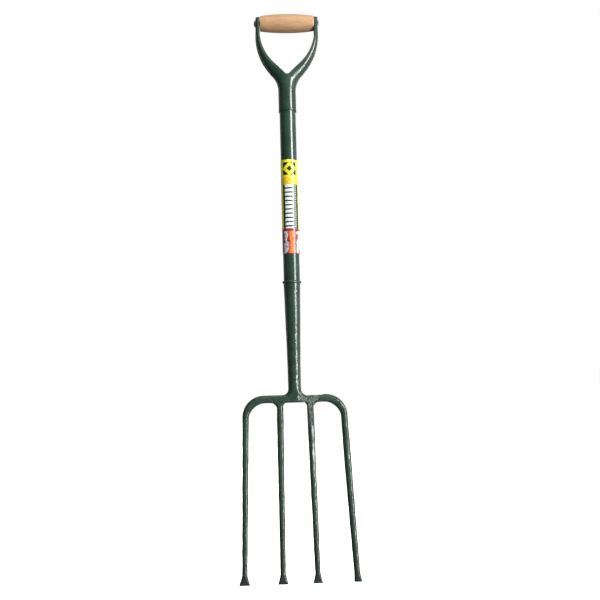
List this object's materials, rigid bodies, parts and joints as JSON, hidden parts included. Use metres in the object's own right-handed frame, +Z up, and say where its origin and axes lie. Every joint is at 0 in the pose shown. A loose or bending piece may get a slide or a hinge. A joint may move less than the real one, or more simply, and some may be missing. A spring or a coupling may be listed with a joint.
{
  "type": "digging fork",
  "caption": "Forged digging fork with flared flat toes, a tubular steel shaft and a metal hilt with a wooden grip.",
  "frame": {"origin": "on the plane of the toes, under the middle of the fork's box", "axes": "+Z up the shaft to the grip, +X to the fork's right, +Y to its back; the tines reach to -Y"},
  "size_m": [0.2132, 0.0444, 1],
  "materials": {
    "forged_steel_painted": "gloss dark green paint over a forged surface",
    "steel_painted": "gloss dark green paint",
    "grip_wood": "turned hardwood, satin",
    "label_film": "printed film"
  },
  "bodies": {
    "fork": {"forged_neck": "forged_steel_painted", "tine_outer_left": "forged_steel_painted", "tine_inner_left": "forged_steel_painted", "tine_inner_right": "forged_steel_painted", "tine_outer_right": "forged_steel_painted", "tine_weld_left": "forged_steel_painted", "tine_weld_right": "forged_steel_painted", "shaft_tube": "steel_painted", "neck_weld_bead": "steel_painted", "hilt_socket": "steel_painted", "hilt_arm_left": "steel_painted", "hilt_arm_right": "steel_painted", "crotch_web": "steel_painted", "grip_rod": "steel_painted", "label": "label_film"},
    "grip": {"grip": "grip_wood"}
  },
  "joints": [
    {"name": "grip_turn", "type": "hinge", "parent": "fork", "child": "grip", "pos_m": [0, 0.00505, 0.9836], "axis": [1, 0, 0], "continuous": true}
  ]
}
